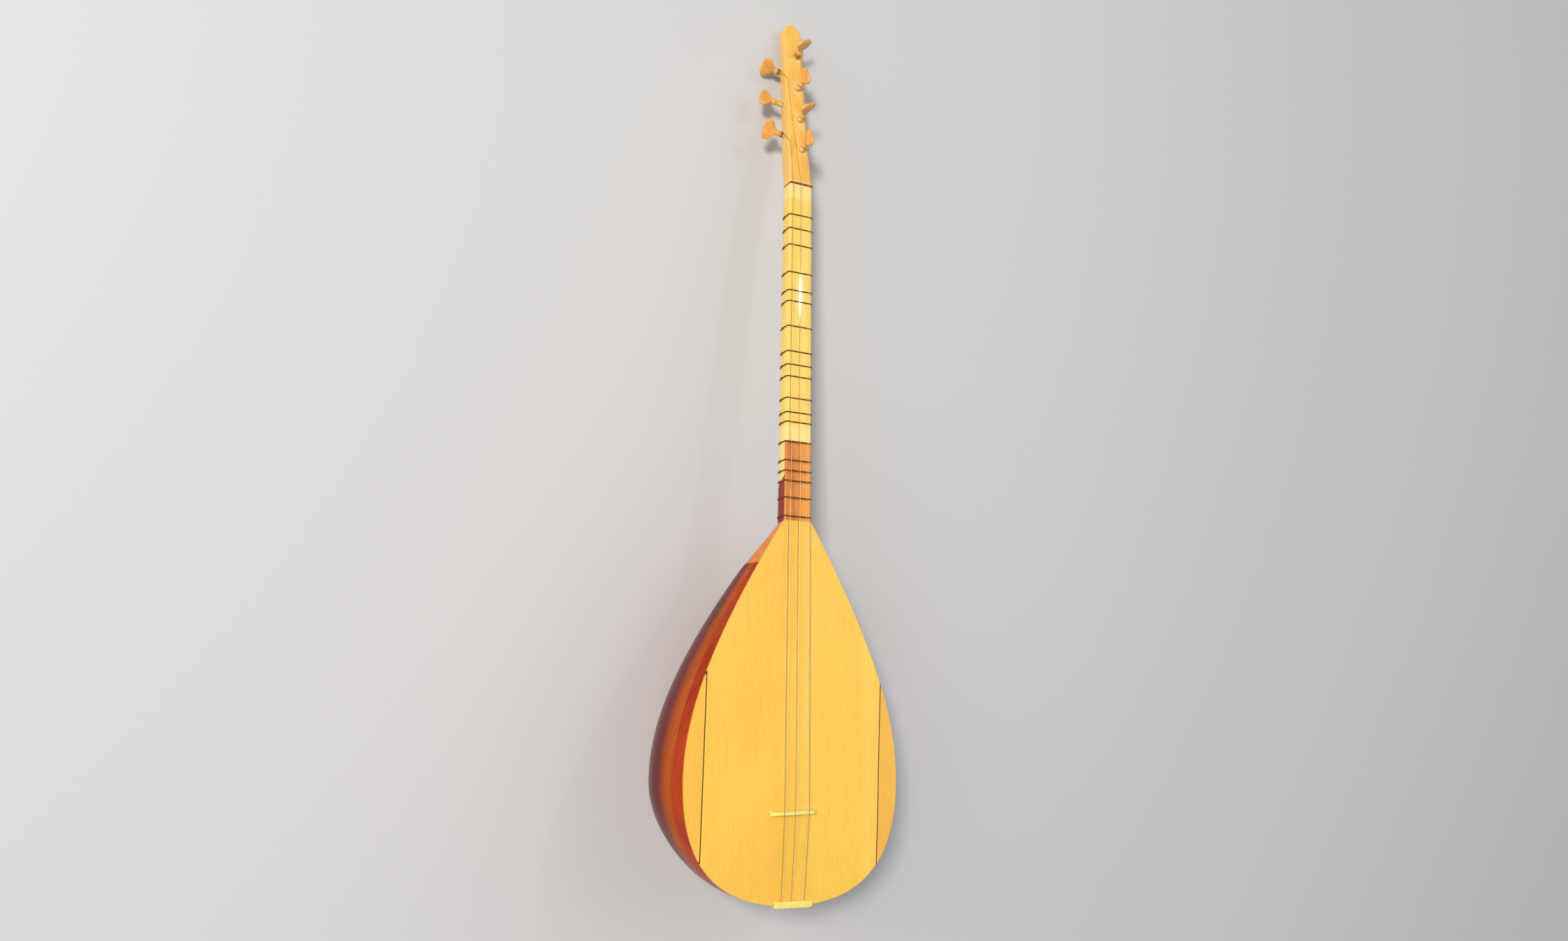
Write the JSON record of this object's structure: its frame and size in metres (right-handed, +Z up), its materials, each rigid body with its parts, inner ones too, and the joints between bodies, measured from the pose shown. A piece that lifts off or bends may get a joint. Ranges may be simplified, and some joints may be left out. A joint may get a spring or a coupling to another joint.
{
  "type": "baglama saz",
  "caption": "Short-neck plucked lute: pear-shaped bowl of glossy staves, flat pale soundboard, long fretted neck with tied frets, tilted head with turning wooden pegs.",
  "frame": {"origin": "middle of the underside of the whole object as it lies on its back, on the surface it lies on", "axes": "+Y from the tail of the bowl towards the head, +Z up out of the soundboard side, +X to the right of the neck seen from above with the head at the far end"},
  "size_m": [0.2748, 1.0192, 0.1743],
  "materials": {
    "spruce_soundboard": "satin clear lacquer over straight-grained spruce",
    "dark_inlay": "satin",
    "red_stave": "high-gloss lacquer",
    "brown_stave": "high-gloss lacquer",
    "light_neck": "gloss lacquer",
    "red_neck_root": "gloss lacquer",
    "orange_overlay": "gloss lacquer",
    "orange_block": "gloss lacquer",
    "inner_wood": "bare, unfinished",
    "bridge_wood": "bare, fine sanded",
    "peg_wood": "satin, worn",
    "fret_line": "tied line",
    "steel_string": "plain steel wire",
    "wound_string": "wire-wound string"
  },
  "bodies": {
    "instrument": {"soundboard_center": "spruce_soundboard", "soundboard_wing_left": "spruce_soundboard", "soundboard_wing_right": "spruce_soundboard", "soundboard_inlay_left": "dark_inlay", "soundboard_inlay_right": "dark_inlay", "nut": "dark_inlay", "bowl_stave_1": "red_stave", "bowl_stave_2": "brown_stave", "bowl_stave_3": "red_stave", "bowl_stave_4": "brown_stave", "bowl_stave_5": "red_stave", "bowl_stave_6": "brown_stave", "bowl_stave_7": "red_stave", "bowl_stave_8": "brown_stave", "bowl_stave_9": "red_stave", "neck_shaft": "light_neck", "peghead": "light_neck", "neck_root": "red_neck_root", "fingerboard_overlay": "orange_overlay", "neck_block": "orange_block", "tail_block": "inner_wood", "rim_lining_left": "inner_wood", "rim_lining_right": "inner_wood", "soundboard_brace_1": "inner_wood", "soundboard_brace_2": "inner_wood", "string_holder": "bridge_wood", "string_1": "wound_string", "string_2": "steel_string", "string_3": "wound_string", "string_4": "steel_string", "string_5": "steel_string", "string_6": "steel_string", "string_7": "wound_string"},
    "bridge": {"bridge": "bridge_wood"},
    "face_peg_1": {"face_peg_1": "peg_wood"},
    "face_peg_2": {"face_peg_2": "peg_wood"},
    "face_peg_3": {"face_peg_3": "peg_wood"},
    "face_peg_4": {"face_peg_4": "peg_wood"},
    "side_peg_1": {"side_peg_1": "peg_wood"},
    "side_peg_2": {"side_peg_2": "peg_wood"},
    "side_peg_3": {"side_peg_3": "peg_wood"},
    "fret_01": {"fret_01": "fret_line"},
    "fret_02": {"fret_02": "fret_line"},
    "fret_03": {"fret_03": "fret_line"},
    "fret_04": {"fret_04": "fret_line"},
    "fret_05": {"fret_05": "fret_line"},
    "fret_06": {"fret_06": "fret_line"},
    "fret_07": {"fret_07": "fret_line"},
    "fret_08": {"fret_08": "fret_line"},
    "fret_09": {"fret_09": "fret_line"},
    "fret_10": {"fret_10": "fret_line"},
    "fret_11": {"fret_11": "fret_line"},
    "fret_12": {"fret_12": "fret_line"},
    "fret_13": {"fret_13": "fret_line"},
    "fret_14": {"fret_14": "fret_line"},
    "fret_15": {"fret_15": "fret_line"},
    "fret_16": {"fret_16": "fret_line"},
    "fret_17": {"fret_17": "fret_line"},
    "fret_18": {"fret_18": "fret_line"},
    "fret_19": {"fret_19": "fret_line"}
  },
  "joints": [
    {"name": "bridge_slide", "type": "slide", "parent": "instrument", "child": "bridge", "axis": [0, 0.9929, -0.1193], "range_m": [-0.003, 0.003]},
    {"name": "face_peg_1_turn", "type": "hinge", "parent": "instrument", "child": "face_peg_1", "pos_m": [0.002, 0.33337, 0.06119], "axis": [0.0868, 0.5257, 0.8462], "continuous": true},
    {"name": "face_peg_2_turn", "type": "hinge", "parent": "instrument", "child": "face_peg_2", "pos_m": [0.002, 0.37445, 0.05029], "axis": [0.0868, 0.5257, 0.8462], "continuous": true},
    {"name": "face_peg_3_turn", "type": "hinge", "parent": "instrument", "child": "face_peg_3", "pos_m": [0.002, 0.41795, 0.03876], "axis": [0.0868, 0.5257, 0.8462], "continuous": true},
    {"name": "face_peg_4_turn", "type": "hinge", "parent": "instrument", "child": "face_peg_4", "pos_m": [0.002, 0.46289, 0.02684], "axis": [0.0868, 0.5257, 0.8462], "continuous": true},
    {"name": "side_peg_1_turn", "type": "hinge", "parent": "instrument", "child": "side_peg_1", "pos_m": [-0.01315, 0.35486, 0.04276], "axis": [-0.9666, 0.2107, -0.1457], "continuous": true},
    {"name": "side_peg_2_turn", "type": "hinge", "parent": "instrument", "child": "side_peg_2", "pos_m": [-0.01584, 0.39754, 0.03118], "axis": [-0.9666, 0.2107, -0.1457], "continuous": true},
    {"name": "side_peg_3_turn", "type": "hinge", "parent": "instrument", "child": "side_peg_3", "pos_m": [-0.01156, 0.44209, 0.01974], "axis": [-0.9666, 0.2107, -0.1457], "continuous": true},
    {"name": "fret_01_shift", "type": "slide", "parent": "instrument", "child": "fret_01", "axis": [0, 0.9918, -0.128], "range_m": [-0.003, 0.003]},
    {"name": "fret_02_shift", "type": "slide", "parent": "instrument", "child": "fret_02", "axis": [0, 0.9918, -0.128], "range_m": [-0.003, 0.003]},
    {"name": "fret_03_shift", "type": "slide", "parent": "instrument", "child": "fret_03", "axis": [0, 0.9918, -0.128], "range_m": [-0.003, 0.003]},
    {"name": "fret_04_shift", "type": "slide", "parent": "instrument", "child": "fret_04", "axis": [0, 0.9918, -0.128], "range_m": [-0.003, 0.003]},
    {"name": "fret_05_shift", "type": "slide", "parent": "instrument", "child": "fret_05", "axis": [0, 0.9918, -0.128], "range_m": [-0.003, 0.003]},
    {"name": "fret_06_shift", "type": "slide", "parent": "instrument", "child": "fret_06", "axis": [0, 0.9918, -0.128], "range_m": [-0.003, 0.003]},
    {"name": "fret_07_shift", "type": "slide", "parent": "instrument", "child": "fret_07", "axis": [0, 0.9918, -0.128], "range_m": [-0.003, 0.003]},
    {"name": "fret_08_shift", "type": "slide", "parent": "instrument", "child": "fret_08", "axis": [0, 0.9918, -0.128], "range_m": [-0.003, 0.003]},
    {"name": "fret_09_shift", "type": "slide", "parent": "instrument", "child": "fret_09", "axis": [0, 0.9918, -0.128], "range_m": [-0.003, 0.003]},
    {"name": "fret_10_shift", "type": "slide", "parent": "instrument", "child": "fret_10", "axis": [0, 0.9918, -0.128], "range_m": [-0.003, 0.003]},
    {"name": "fret_11_shift", "type": "slide", "parent": "instrument", "child": "fret_11", "axis": [0, 0.9918, -0.128], "range_m": [-0.003, 0.003]},
    {"name": "fret_12_shift", "type": "slide", "parent": "instrument", "child": "fret_12", "axis": [0, 0.9918, -0.128], "range_m": [-0.003, 0.003]},
    {"name": "fret_13_shift", "type": "slide", "parent": "instrument", "child": "fret_13", "axis": [0, 0.9918, -0.128], "range_m": [-0.003, 0.003]},
    {"name": "fret_14_shift", "type": "slide", "parent": "instrument", "child": "fret_14", "axis": [0, 0.9918, -0.128], "range_m": [-0.003, 0.003]},
    {"name": "fret_15_shift", "type": "slide", "parent": "instrument", "child": "fret_15", "axis": [0, 0.9918, -0.128], "range_m": [-0.003, 0.003]},
    {"name": "fret_16_shift", "type": "slide", "parent": "instrument", "child": "fret_16", "axis": [0, 0.9918, -0.128], "range_m": [-0.003, 0.003]},
    {"name": "fret_17_shift", "type": "slide", "parent": "instrument", "child": "fret_17", "axis": [0, 0.9918, -0.128], "range_m": [-0.003, 0.003]},
    {"name": "fret_18_shift", "type": "slide", "parent": "instrument", "child": "fret_18", "axis": [0, 0.9918, -0.128], "range_m": [-0.003, 0.003]},
    {"name": "fret_19_shift", "type": "slide", "parent": "instrument", "child": "fret_19", "axis": [0, 0.9918, -0.128], "range_m": [-0.003, 0.003]}
  ]
}
